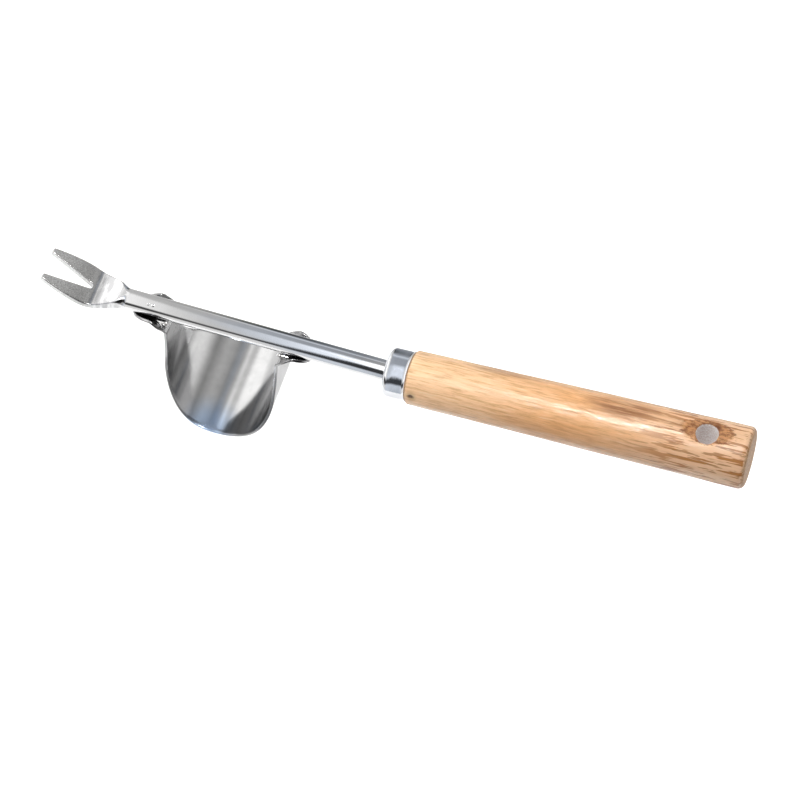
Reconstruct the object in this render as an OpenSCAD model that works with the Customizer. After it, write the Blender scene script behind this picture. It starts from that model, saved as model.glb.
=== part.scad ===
// Forked hand weeder with a lever fulcrum.
//
// A round steel bar is forged flat and split at one end into two tines, and its
// other end is a tang that is driven into a turned wooden handle. A drawn steel
// ferrule keeps the mouth of the handle from splitting, and a cross pin keeps
// the tang in the wood. A bent sheet fulcrum is welded under the bar: pushing
// the handle down rolls the tool on it and levers the root out of the ground.
//
// Frame: the origin is where the hanging hole crosses the axis of the handle.
// +X runs along the handle to its butt, +Z runs along the hanging hole, and the
// fulcrum hangs towards -Z. Millimetres.

/* [Handle] */
// Length of the visible wood, ferrule to butt
handle_len = 129.4; // [90:0.2:160]
// Diameter of the wood beside the ferrule
handle_front_d = 20.4; // [19.6:0.2:24]
// Diameter of the wood at the butt
handle_butt_d = 23.4; // [20:0.2:32]
// Radius of the rounded butt edge
butt_edge_r = 2.2; // [0.5:0.1:4]
// Radius of the eased edge beside the ferrule
front_edge_r = 0.7; // [0.3:0.1:1]
// Angle between the handle and the bar, both ends rising from the ferrule
handle_rake = 4; // [0:0.5:5]

/* [Hanging hole] */
// Diameter of the hanging hole
hang_hole_d = 8; // [5:0.5:10]
// Distance from the centre of the hole to the butt
hang_hole_to_butt = 16.4; // [12:0.2:30]
// Depth of the worn chamfer at both mouths of the hole
hang_hole_chamfer = 0.7; // [0.3:0.1:1.5]

/* [Ferrule] */
// Outside diameter of the ferrule
ferrule_d = 18.8; // [17:0.2:19]
// Length of the ferrule
ferrule_len = 9.2; // [7:0.2:16]
// Thickness of the drawn sheet
ferrule_wall = 0.8; // [0.6:0.1:1.2]
// Radius of its rounded front edge
ferrule_edge_r = 2; // [1.3:0.1:3]
// How far the rolled rear lip stands out
ferrule_lip = 0.25; // [0.1:0.05:0.3]

/* [Bar] */
// Diameter of the bar
bar_d = 8; // [7:0.5:9]
// Length of round bar from the ferrule to the fork
bar_len = 103.8; // [98:0.2:140]
// Diameter of the tang
tang_d = 6; // [5:0.5:6.5]
// Length of the tang behind the front of the ferrule
tang_len = 66; // [40:1:80]

/* [Fork] */
// Length of the fork, end of the round bar to the tine tips
fork_len = 30.5; // [28:0.5:45]
// Widest part of the fork
fork_w = 16.6; // [14:0.2:20]
// Distance from the round bar to the widest part
fork_shoulder = 21; // [19:0.5:24]
// Thickness of the flattened fork
fork_t = 2.8; // [2:0.1:4]
// Upward bend of the tines
tine_angle = 28; // [0:1:30]
// Distance from the round bar to the start of the bend
bend_start = 11; // [9:0.5:12]
// Radius of the bend, on the middle of the thickness
bend_r = 14; // [8:1:20]
// Distance from the round bar to the bottom of the notch
notch_start = 13.6; // [13:0.2:17]
// Radius at the bottom of the notch
notch_r = 1.2; // [0.8:0.1:1.6]
// Angle of each side of the notch to the centre line
notch_angle = 12.7; // [10:0.1:14]
// Width of each blunt tip
tip_w = 1.5; // [1:0.1:2]

/* [Fulcrum] */
// Distance from the front of the ferrule to the middle of the fulcrum
fulcrum_at = 64; // [56:0.2:66]
// Distance between its two legs, on the middle of the sheet
leg_gap = 44.4; // [38:0.2:50]
// Depth from the axis of the bar to the middle of the sheet at the bottom
fulcrum_depth = 45.5; // [38:0.5:50]
// Width of the sheet at the bottom
fulcrum_w = 42.6; // [36:0.2:52]
// Width of the sheet at the top of the legs
leg_w = 13.8; // [12:0.2:18]
// Height over which the broad foot narrows to the legs
foot_rise = 19.2; // [14:0.2:20]
// Turn of the broad foot round the loop, towards the handle
foot_turn = 13; // [0:1:15]
// Thickness of the sheet
sheet_t = 1.2; // [0.8:0.1:2]
// Bend radius between a leg and its tab, on the middle of the sheet
tab_bend_r = 2.4; // [1.6:0.1:4]
// Length of each tab, from the middle of the leg to its tip
tab_len = 13; // [10:0.5:16]

/* [Fixings] */
// Diameter of each weld bead
weld_d = 2; // [1.5:0.1:2.6]
// Length of each weld bead
weld_len = 6.5; // [4:0.5:8]
// Diameter of the cross pin through the tang
pin_d = 1.6; // [1.2:0.1:2]
// Distance from the ferrule to the pin
pin_at = 2.8; // [2.4:0.1:5]
// Turn of the pin about the handle, from level
pin_turn = -15; // [-30:1:30]

/* [Hidden] */
$fn = 64;

steel = [0.78, 0.79, 0.81];
satin_steel = [0.66, 0.66, 0.68];
weld_metal = [0.50, 0.50, 0.52];
oak = [0.84, 0.67, 0.47];

fit = 0.05;                   // gap left around a driven or slipped-on part
margin = 1;                   // how far a cutting tool runs past the surface
lap = 0.02;                   // how far two pieces of one solid run into each other

// Places along the axis of the handle
butt_x = hang_hole_to_butt;
collar_x = butt_x - handle_len;
mouth_x = collar_x - ferrule_len;

bar_r = bar_d / 2;
spigot_r = ferrule_d / 2 - ferrule_wall - fit;
fork_x = -bar_len;            // where the round bar ends, in the bar's own frame

// The bar's frame: origin at the mouth of the ferrule, +X into the handle.
module on_bar() {
  translate([mouth_x, 0, 0]) rotate([0, handle_rake, 0]) children();
}

// A solid of revolution about X, from an outline of [x, radius] points.
module turned() {
  rotate([0, 90, 0]) rotate([0, 0, 180]) rotate_extrude($fn = 96) rotate(90) mirror([0, 1]) children();
}

// A plate outline in X and Z, standing from -width/2 to width/2 across the tool.
module across(width) {
  translate([0, width / 2, 0]) rotate([90, 0, 0]) linear_extrude(width) children();
}

// ---------------------------------------------------------------- shank

// Half-width of the fork at a distance from the round bar.
function fork_half(d) =
  let (u = d / fork_shoulder)
  bar_r + (fork_w / 2 - bar_r) * (u + sin(90 * u)) / 2;

tip_gap = notch_r + (fork_len - notch_start - notch_r) * tan(notch_angle);
tip_out = tip_gap + tip_w;

// The fork from above, before it is split. It points to -X.
module fork_outline() {
  steps = 12;
  side = [for (i = [0 : steps]) let (d = fork_shoulder * i / steps) [fork_x - d, fork_half(d)]];
  tip = [[fork_x - fork_len, tip_out]];
  far_side = concat(side, tip);
  near_side = [for (i = [len(far_side) - 1 : -1 : 0]) [far_side[i].x, -far_side[i].y]];
  polygon(concat(far_side, near_side));
}

// The notch between the tines, round at its bottom and open at the tips.
module notch_outline() {
  root_x = fork_x - notch_start - notch_r;
  touch = [root_x + notch_r * sin(notch_angle), notch_r * cos(notch_angle)];
  open_x = fork_x - fork_len - margin;
  open_y = touch.y + (touch.x - open_x) * tan(notch_angle);
  translate([root_x, 0]) circle(notch_r);
  polygon([touch, [open_x, open_y], [open_x, -open_y], [touch.x, -touch.y]]);
}

// The fork from the side: it thins from the bar to the flat, then bends up.
module fork_profile() {
  flat_x = fork_x - bend_start;
  bend_end_x = flat_x - bend_r * sin(tine_angle);
  taper_x = fork_x - 8;
  half = fork_t / 2;
  polygon([
    [fork_x, -bar_r], [fork_x, bar_r],
    [fork_x - 4, half], [flat_x - lap, half],
    [flat_x - lap, -half], [taper_x, -half],
  ]);
  intersection() {
    translate([flat_x, bend_r]) difference() {
      circle(bend_r + half, $fn = 96);
      circle(bend_r - half, $fn = 96);
    }
    polygon([
      [flat_x, bend_r],
      [flat_x, -bend_r],
      [flat_x - 2 * bend_r * tan(tine_angle), -bend_r],
    ]);
  }
  translate([bend_end_x, bend_r * (1 - cos(tine_angle))]) rotate(-tine_angle)
    translate([-fork_len, -half]) square([fork_len + lap, fork_t]);
}

module shank() {
  tip_cone_len = 7;
  color(steel) on_bar() difference() {
    union() {
      translate([-bar_len, 0, 0]) rotate([0, 90, 0]) cylinder(r = bar_r, h = bar_len + ferrule_wall);
      rotate([0, 90, 0]) cylinder(d = tang_d, h = tang_len - tip_cone_len);
      translate([tang_len - tip_cone_len, 0, 0]) rotate([0, 90, 0])
        cylinder(d1 = tang_d, d2 = 2, h = tip_cone_len);
      intersection() {
        across(fork_w + margin) fork_profile();
        translate([0, 0, -bar_d]) linear_extrude(4 * bar_d) difference() {
          fork_outline();
          notch_outline();
        }
        translate([fork_x, 0, 0]) rotate([0, -90, 0])
          cylinder(r1 = bar_r, r2 = bar_r + fork_len / 2, h = fork_len + margin);
      }
    }
    off_bar() pin_drilling();
  }
}

// The inverse of on_bar(), for a cut that is placed from the handle.
module off_bar() {
  rotate([0, -handle_rake, 0]) translate([-mouth_x, 0, 0]) children();
}

// ---------------------------------------------------------------- fulcrum

leg_x = leg_gap / 2;
half_t = sheet_t / 2;
tab_z = -bar_r - half_t;                        // middle of the tab sheet
leg_foot_z = -fulcrum_depth + leg_x;            // where the legs meet the round bottom

// Half-width of the sheet at a height above the bottom of the fulcrum.
function sheet_half(rise) =
  leg_w / 2 + (fulcrum_w - leg_w) / 2 * exp(-pow(rise / foot_rise, 2));

module ring_sector(r, from, to) {
  big = 4 * r;
  intersection() {
    difference() {
      circle(r + half_t, $fn = 96);
      circle(r - half_t, $fn = 96);
    }
    polygon([[0, 0], for (a = [from : 45 : to]) big * [cos(a), sin(a)]]);
  }
}

// The bent sheet from the side.
module bent_strip() {
  translate([0, leg_foot_z]) ring_sector(leg_x, 180, 360);
  for (side = [-1, 1]) scale([side, 1]) {
    translate([leg_x - half_t, leg_foot_z]) square([sheet_t, tab_z - tab_bend_r - leg_foot_z]);
    translate([leg_x + tab_bend_r, tab_z - tab_bend_r]) ring_sector(tab_bend_r, 90, 180);
    translate([leg_x + tab_bend_r, tab_z - half_t]) square([tab_len - tab_bend_r, sheet_t]);
  }
}

// The sheet from the front, below the tabs: a broad round foot on a narrow strap.
// Y is the height above the middle of the round bottom.
module foot_outline() {
  top = fulcrum_depth + leg_x;
  steps = 40;
  side = [for (i = [0 : steps]) let (rise = top * i / steps) [sheet_half(rise), rise - leg_x]];
  base = [[sheet_half(0), -leg_x - margin]];
  right = concat(base, side);
  left = [for (i = [len(right) - 1 : -1 : 0]) [-right[i].x, right[i].y]];
  polygon(concat(right, left));
}

// The sheet from above: both tabs end in a rounded leaf.
module tab_outline() {
  leaf = tab_len;
  polygon([
    for (a = [-90 : 6 : 90]) [leg_x + leaf * cos(a), sheet_half(fulcrum_depth) * sin(a)],
    for (a = [90 : 6 : 270]) [-leg_x + leaf * cos(a), sheet_half(fulcrum_depth) * sin(a)],
  ]);
}

module fulcrum() {
  reach = leg_gap + 2 * tab_len + 2 * margin;
  below_tabs = tab_z - tab_bend_r;
  color(satin_steel) on_bar() translate([-fulcrum_at, 0, 0]) intersection() {
    across(fulcrum_w + 2 * margin) bent_strip();
    translate([0, 0, leg_foot_z]) rotate([0, -foot_turn, 0]) translate([-reach, 0, 0])
      rotate([90, 0, 90]) linear_extrude(2 * reach) foot_outline();
    union() {
      translate([0, 0, below_tabs]) linear_extrude(-below_tabs) tab_outline();
      translate([-reach / 2, -fulcrum_w / 2 - margin, -fulcrum_depth - margin])
        cube([reach, fulcrum_w + 2 * margin, fulcrum_depth + margin + below_tabs]);
    }
  }
}

// ---------------------------------------------------------------- welds

// Two fillet beads, one each side of the bar, where it lies on a tab.
module weld_pair(x) {
  z = -bar_r + weld_d * 0.3;
  y = 3.4;
  run = weld_len - weld_d;
  color(weld_metal) on_bar() difference() {
    for (side = [-1, 1]) translate([x, side * y, z]) {
      rotate([0, 90, 0]) cylinder(d = weld_d, h = run, center = true);
      for (end = [-1, 1]) translate([end * run / 2, 0, 0]) sphere(d = weld_d);
    }
    translate([x - weld_len, 0, 0]) rotate([0, 90, 0]) cylinder(r = bar_r, h = 2 * weld_len);
    translate([x - weld_len, -2 * bar_r, -2 * bar_r - bar_r]) cube([2 * weld_len, 4 * bar_r, 2 * bar_r]);
  }
}

weld_offset = leg_x + tab_bend_r + weld_len / 2 - weld_d / 2;
module front_weld() { weld_pair(-fulcrum_at - weld_offset); }
module rear_weld() { weld_pair(-fulcrum_at + weld_offset); }

// ---------------------------------------------------------------- ferrule

module ferrule_outline(grow) {
  r = ferrule_d / 2 + grow;
  front = mouth_x - grow;
  edge = ferrule_edge_r + grow;
  difference() {
    translate([front, 0]) square([collar_x - front, r]);
    translate([front, r - edge]) square(edge);
  }
  intersection() {
    translate([front + edge, r - edge]) circle(edge);
    translate([front, r - edge]) square(edge);
  }
}

module ferrule() {
  color(steel) turned() difference() {
    union() {
      ferrule_outline(0);
      translate([collar_x - 0.4, ferrule_d / 2]) circle(ferrule_lip);
    }
    intersection() {
      ferrule_outline(-ferrule_wall);
      translate([mouth_x, 0]) square([ferrule_len + margin, ferrule_d]);
    }
    translate([collar_x - margin / 2, 0]) square([margin, ferrule_d / 2 - ferrule_wall]);
    translate([mouth_x - margin, 0]) square([3 * margin, bar_r + 0.3]);
  }
}

// ---------------------------------------------------------------- handle

module handle_outline() {
  front_r = handle_front_d / 2;
  butt_r = handle_butt_d / 2;
  spigot_x = mouth_x + ferrule_wall + fit;
  spigot_edge = ferrule_edge_r - ferrule_wall + fit;
  gap = 0.15;                                   // between the ferrule and the shoulder
  polygon([
    [spigot_x, 0],
    [spigot_x, spigot_r - spigot_edge],
    for (a = [180 : -15 : 90])
      [spigot_x + spigot_edge * (1 + cos(a)), spigot_r - spigot_edge * (1 - sin(a))],
    [collar_x + gap, spigot_r],
    for (a = [180 : -15 : 90])
      [collar_x + gap + front_edge_r * (1 + cos(a)), front_r - front_edge_r * (1 - sin(a))],
    for (a = [90 : -10 : 0])
      [butt_x - butt_edge_r * (1 - cos(a)), butt_r - butt_edge_r * (1 - sin(a))],
    [butt_x, 0],
  ]);
}

// Cuts the cross pin's hole through the wood and the tang.
module pin_drilling(r = pin_d / 2) {
  translate([collar_x + pin_at, 0, 0]) rotate([pin_turn, 0, 0]) rotate([90, 0, 0])
    cylinder(r = r, h = handle_front_d + 2 * margin, center = true);
}

// Radius of the wood at a place along the handle.
function wood_r(x) =
  (handle_front_d + (handle_butt_d - handle_front_d) * (x - collar_x) / handle_len) / 2;

module hang_hole() {
  top = wood_r(0);
  cylinder(d = hang_hole_d, h = 2 * top + 2 * margin, center = true);
  for (up = [0, 180]) rotate([up, 0, 0]) translate([0, 0, top - hang_hole_chamfer])
    cylinder(r1 = hang_hole_d / 2, r2 = hang_hole_d / 2 + hang_hole_chamfer + margin,
             h = hang_hole_chamfer + margin);
}

module handle() {
  color(oak) difference() {
    turned() handle_outline();
    on_bar() rotate([0, 90, 0]) cylinder(d = tang_d + 2 * fit, h = tang_len + 2);
    pin_drilling();
    hang_hole();
  }
}

module tang_pin() {
  sunk = 0.3;                                   // the pin's ends sit below the wood
  color(weld_metal) translate([collar_x + pin_at, 0, 0]) rotate([pin_turn, 0, 0])
    rotate([90, 0, 0]) cylinder(r = pin_d / 2, h = 2 * (wood_r(collar_x + pin_at) - sunk), center = true);
}

shank();
fulcrum();
front_weld();
rear_weld();
ferrule();
handle();
tang_pin();
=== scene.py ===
"""Looks of the forked hand weeder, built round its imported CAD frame.

Lengths are millimetres in the part's own frame: the origin is where the hanging hole crosses the
axis of the handle, +X runs to the butt, and the fulcrum hangs towards -Z. new_mesh() turns them
into metres. Inside the shaders lengths are metres.
"""

from math import asin, atan2, cos, degrees, exp, hypot, pi, radians, remainder, sin, sqrt, tan

import bmesh
import bpy
import numpy as np
from mathutils import Matrix, Vector, noise


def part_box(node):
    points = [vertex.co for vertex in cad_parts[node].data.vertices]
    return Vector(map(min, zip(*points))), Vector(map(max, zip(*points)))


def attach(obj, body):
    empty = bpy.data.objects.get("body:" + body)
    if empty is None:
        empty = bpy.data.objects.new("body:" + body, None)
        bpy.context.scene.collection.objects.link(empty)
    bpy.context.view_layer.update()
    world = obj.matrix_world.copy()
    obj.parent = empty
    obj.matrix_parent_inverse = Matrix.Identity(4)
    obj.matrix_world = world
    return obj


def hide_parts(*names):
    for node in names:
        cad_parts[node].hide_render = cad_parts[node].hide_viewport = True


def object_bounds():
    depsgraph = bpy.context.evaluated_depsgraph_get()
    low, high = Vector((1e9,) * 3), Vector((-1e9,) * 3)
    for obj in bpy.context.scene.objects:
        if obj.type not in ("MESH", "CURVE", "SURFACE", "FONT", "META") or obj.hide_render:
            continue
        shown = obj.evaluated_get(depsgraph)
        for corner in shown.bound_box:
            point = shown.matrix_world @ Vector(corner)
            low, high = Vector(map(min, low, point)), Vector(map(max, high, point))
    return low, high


MM = 0.001

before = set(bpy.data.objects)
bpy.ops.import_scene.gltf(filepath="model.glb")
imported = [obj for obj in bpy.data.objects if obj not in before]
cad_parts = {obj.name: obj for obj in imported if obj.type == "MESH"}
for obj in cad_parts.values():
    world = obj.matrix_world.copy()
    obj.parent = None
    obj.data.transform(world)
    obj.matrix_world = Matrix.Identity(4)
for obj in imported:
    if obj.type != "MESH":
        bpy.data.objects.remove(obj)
cad_low, cad_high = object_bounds()


def cad_box(node):
    """Lowest and highest corner of a CAD node, in millimetres."""
    low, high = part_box(node)
    return low / MM, high / MM


# ---------- places and sizes
ferrule_low, ferrule_high = cad_box("ferrule")
_, handle_high = cad_box("handle")

LIP = 0.25                 # how far the ferrule's rolled rear lip stands out
MOUTH_X = ferrule_low.x    # front of the ferrule
COLLAR_X = ferrule_high.x  # where the visible wood starts
BUTT_X = handle_high.x
FERRULE_R = ferrule_high.z - LIP
FERRULE_WALL = 0.8
FERRULE_EDGE = 2.0         # rounding of its front edge
FRONT_R = 10.2             # wood beside the ferrule
BUTT_R = handle_high.y
BUTT_EDGE = 2.2
BUTT_CROWN = 0.12          # the butt is very slightly domed
HOLE_R = 4.0

RAKE = radians(4)  # between the handle and the bar
BAR_R = 4.0
BAR_LEN = 103.8
TANG_R = 3.0
TANG_LEN = 66.0
TANG_POINT = 7.0
BORE_R = 3.05           # of the tang's bore in the wood
BORE_END = TANG_LEN + 2
SPIGOT_GAP = 0.05       # between the wood and the inside of the ferrule

FORK_LEN = 31.0
FORK_HALF = 8.45
WIDEST = 17.5                      # from the round bar to the widest part
FORK_T = 2.8
TIP_T = 2.5                        # the tines thin towards their tips
NECK_FLARE = 0.27                  # how fast the half-width grows beside the round bar
NECK_EASE = 1.6                    # the flare starts softly, over this far each way
TIP_TAPER = 0.22                   # and how fast it shrinks at the tips
BEND_START = 10.3
BEND_R = 11.0
BEND = radians(27.8)
NOTCH_START = 13.6
NOTCH_R = 1.2
NOTCH_ANGLE = radians(12.7)
TIP_W = 2.0
TIP_ROUND, TIP_SHRINK = 0.5, 0.38  # rounding of the tip, along the tine and across it

LOOP_AT = 64.0           # from the front of the ferrule to the middle of the fulcrum
LOOP_R = 22.2            # middle of the sheet
LOOP_DEPTH = 45.5
LOOP_W = 42.6
LEG_W = 13.8
FOOT_RISE = 19.2
FOOT_TURN = radians(13)
SHEET_T = 1.2
SHEET_EDGE = 0.38        # rounding of the sheet's edges
TAB_BEND_R = 2.4
FRONT_TAB_LEN = 15.0
REAR_TAB_LEN = 12.6
TAB_DISH_R = 7.8         # the tabs are pressed up round the bar
FRONT_TAB_SPREAD = 0.24  # how much wider than the strap each tab is
REAR_TAB_SPREAD = 0.14
REAR_TAB_SHIFT = 0.6     # the rear tab was welded on a little off centre

PIN_AT = 2.8
PIN_R = 0.8
PIN_TURN = radians(-15)

BAR_FRAME = Matrix.Translation((MOUTH_X, 0, 0)) @ Matrix.Rotation(RAKE, 4, "Y")
LOOP_FRAME = BAR_FRAME @ Matrix.Translation((-LOOP_AT, 0, 0))


# ---------- mesh helpers
def smooth_step(low, high, value):
    u = min(max((value - low) / (high - low), 0.0), 1.0)
    return u * u * (3 - 2 * u)


def lerp(a, b, u):
    return a + (b - a) * u


def hermite(a, b, slope_a, slope_b, u):
    """Cubic from a to b with the given slopes per unit of u at its ends."""
    ease = u * u * (3 - 2 * u)
    return lerp(a, b, ease) + u * (1 - u) * ((1 - u) * slope_a - u * slope_b)


def arc(centre, radius, start, stop, steps):
    """Points [a, b] along an arc, with both ends; the angles are in degrees."""
    angles = [radians(lerp(start, stop, i / steps)) for i in range(steps + 1)]
    return [(centre[0] + radius * cos(a), centre[1] + radius * sin(a)) for a in angles]


def circle(count, start=0.0):
    """Angles evenly spaced round a full turn."""
    return [start + 2 * pi * k / count for k in range(count)]


def face_out(mesh):
    """Turns every face of a closed mesh outwards."""
    work = bmesh.new()
    work.from_mesh(mesh)
    bmesh.ops.recalc_face_normals(work, faces=work.faces)
    work.to_mesh(mesh)
    work.free()


def add_object(name, data):
    made = bpy.data.objects.new(name, data)
    bpy.context.scene.collection.objects.link(made)
    return made


def new_mesh(name, verts, faces, material):
    """A mesh in one material, from corners in millimetres."""
    mesh = bpy.data.meshes.new(name)
    mesh.from_pydata([Vector(v) * MM for v in verts], [], faces)
    mesh.materials.append(material)
    return mesh


def make_piece(name, verts, faces, node, material, place=Matrix.Identity(4), sharp=38):
    """A closed mesh that rides on the root and stands for its CAD node."""
    mesh = new_mesh(name, [place @ Vector(v) for v in verts], faces, material)
    mesh.validate()
    face_out(mesh)
    mesh.shade_smooth()
    mesh.set_sharp_from_angle(angle=radians(sharp))
    piece = add_object(name, mesh)
    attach(piece, "root")
    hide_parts(node)


def skin(rings, faces):
    """Adds quads between closed rings of vertex numbers."""
    for first, second in zip(rings, rings[1:]):
        for i in range(len(first)):
            j = (i + 1) % len(first)
            faces.append((first[i], first[j], second[j], second[i]))


def add_ring(points, verts):
    start = len(verts)
    verts.extend(points)
    return list(range(start, len(verts)))


def add_fan(ring, point, verts, faces, flip=False):
    """Closes a ring with triangles to one point."""
    verts.append(point)
    centre = len(verts) - 1
    for i, a in enumerate(ring):
        b = ring[(i + 1) % len(ring)]
        faces.append((b, a, centre) if flip else (a, b, centre))


def lathe_ring(profile, segments):
    """A closed profile of (x, radius) turned round X."""
    verts, faces = [], []
    rings = [add_ring([(x, r * cos(a), r * sin(a)) for a in circle(segments)], verts)
             for x, r in profile]
    skin(rings + rings[:1], faces)
    return verts, faces


# ---------- shader helpers
def shader(name):
    material = bpy.data.materials.new(name)
    material.use_nodes = True
    tree = material.node_tree
    tree.nodes.clear()
    return material, tree


def add(tree, kind, inputs=None, **settings):
    """A shader node; an input is a value or another node's socket."""
    made = tree.nodes.new("ShaderNode" + kind)
    for key, value in settings.items():
        setattr(made, key, value)
    for key, value in (inputs or {}).items():
        if isinstance(value, bpy.types.NodeSocket):
            tree.links.new(value, made.inputs[key])
        else:
            made.inputs[key].default_value = value
    return made


def math_node(tree, operation, a, b=0.0):
    return add(tree, "Math", {0: a, 1: b}, operation=operation).outputs[0]


def plus(tree, a, b):
    return math_node(tree, "ADD", a, b)


def times(tree, a, b):
    return math_node(tree, "MULTIPLY", a, b)


def remap(tree, value, low, high, to_low=0.0, to_high=1.0):
    """Smooth, clamped remap of a value."""
    inputs = {"Value": value, "From Min": low, "From Max": high, "To Min": to_low, "To Max": to_high}
    return add(tree, "MapRange", inputs, interpolation_type="SMOOTHSTEP").outputs["Result"]


def vector_math(tree, operation, a, b):
    return add(tree, "VectorMath", {0: a, 1: b}, operation=operation).outputs[0]


def dot(tree, a, b):
    return add(tree, "VectorMath", {0: a, 1: b}, operation="DOT_PRODUCT").outputs["Value"]


def length(tree, vector):
    return add(tree, "VectorMath", {0: vector}, operation="LENGTH").outputs["Value"]


def grain(tree, coords, stretch, scale=1.0, detail=3.0, rough=0.55):
    """Noise stretched along an axis: stretch is the scale on each axis before the noise."""
    stretched = vector_math(tree, "MULTIPLY", coords, stretch)
    inputs = {"Vector": stretched, "Scale": scale, "Detail": detail, "Roughness": rough}
    return add(tree, "TexNoise", inputs).outputs["Fac"]


def cloud_noise(tree, coords, scale, detail=3.0, rough=0.55):
    """Noise with no direction."""
    return grain(tree, coords, (1, 1, 1), scale, detail, rough)


def mix_color(tree, factor, a, b):
    """Mix of two colours, each of them a socket or (red, green, blue)."""
    a, b = ((*c, 1) if isinstance(c, tuple) else c for c in (a, b))
    return add(tree, "Mix", {0: factor, 6: a, 7: b}, data_type="RGBA", blend_type="MIX").outputs[2]


def paint(tree, color, *coats):
    """Lays coats over a colour; each coat is (how much of it, its colour)."""
    for amount, coat in coats:
        color = mix_color(tree, amount, color, coat)
    return color


def bump(tree, height, strength, depth, under=None):
    """Surface relief, laid on another relief when one is given; depth is in metres."""
    inputs = {"Strength": strength, "Distance": depth, "Height": height}
    if under is not None:
        inputs["Normal"] = under
    return add(tree, "Bump", inputs).outputs[0]


def finish_material(tree, surface):
    out = add(tree, "OutputMaterial")
    tree.links.new(surface.outputs[0], out.inputs["Surface"])


def finish_metal(tree, color, rough, normal, more=None):
    inputs = {"Base Color": color, "Metallic": 1.0, "Roughness": rough, "Normal": normal}
    finish_material(tree, add(tree, "BsdfPrincipled", inputs | (more or {})))


def place_of(tree):
    """Coordinates in metres in the part's frame."""
    return add(tree, "TexCoord").outputs["Object"]


def bar_coords(tree):
    """Coordinates in metres along the bar (x) and across it (y, z), with the rake taken out."""
    inputs = {"Vector": place_of(tree), "Center": (MOUTH_X * MM, 0, 0), "Axis": (0, 1, 0),
              "Angle": -RAKE}
    return add(tree, "VectorRotate", inputs, rotation_type="AXIS_ANGLE").outputs[0]


def spot(tree, at, centre, size):
    """1 at a place on a surface, fading to 0 over a size on each axis, in millimetres."""
    offset = vector_math(tree, "SUBTRACT", at, Vector(centre) * MM)
    scale = tuple(1 / (s * MM) for s in size)
    return remap(tree, length(tree, vector_math(tree, "MULTIPLY", offset, scale)), 1.0, 0.25)


# ---------- metals
def polished_steel():
    """Drawn and polished bar; the tines are left brushed."""
    material, tree = shader("bright_steel")
    at = bar_coords(tree)
    x = add(tree, "SeparateXYZ", {0: at}).outputs[0]
    fork_x = (MOUTH_X - BAR_LEN) * MM
    on_tine = remap(tree, x, fork_x - 0.0085, fork_x - 0.0150)
    on_fork = remap(tree, x, fork_x + 0.0005, fork_x - 0.0030)
    lines = grain(tree, at, (25, 1800, 1800), detail=4.0)
    cloud = cloud_noise(tree, at, 160.0)
    brushed = grain(tree, at, (1800, 3200, 1800), rough=0.6)
    wave = grain(tree, at, (1, 3, 3), 55.0, 1.0)
    smear = grain(tree, at, (420, 130, 130))

    polish = plus(tree, remap(tree, lines, 0.35, 0.7, 0.045, 0.085),
                  remap(tree, cloud, 0.35, 0.75, 0.0, 0.03))
    forged = remap(tree, brushed, 0.3, 0.7, 0.13, 0.19)
    rough = add(tree, "Mix", {0: on_fork, 2: polish, 3: forged}).outputs[0]

    tint = mix_color(tree, cloud, (0.70, 0.70, 0.71), (0.78, 0.78, 0.79))
    root_tint = mix_color(tree, remap(tree, smear, 0.40, 0.60), (0.50, 0.50, 0.51), (0.72, 0.72, 0.73))
    tine_tint = mix_color(tree, remap(tree, brushed, 0.30, 0.70),
                          (0.46, 0.46, 0.46), (0.72, 0.72, 0.72))
    scoured = remap(tree, x, fork_x - 0.013, fork_x - 0.026, 0.30, 0.0)
    tine_tint = mix_color(tree, scoured, tine_tint, (0.10, 0.10, 0.10))
    color = mix_color(tree, on_tine, mix_color(tree, on_fork, tint, root_tint), tine_tint)

    relief = bump(tree, lines, 0.10, 0.00002)
    relief = bump(tree, brushed, 0.18, 0.00003, relief)
    relief = bump(tree, wave, 0.18, 0.00025, relief)
    # Two specks of weld spatter on top of the bar beside the front tab.
    specks = [spot(tree, at, (MOUTH_X - LOOP_AT - away, -1.9, 3.5), (size, size, size))
              for away, size in ((30.1, 0.55), (28.2, 0.70))]
    relief = bump(tree, plus(tree, specks[0], specks[1]), 1.0, 0.00014, relief)
    finish_metal(tree, color, rough, relief)
    return material


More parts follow.
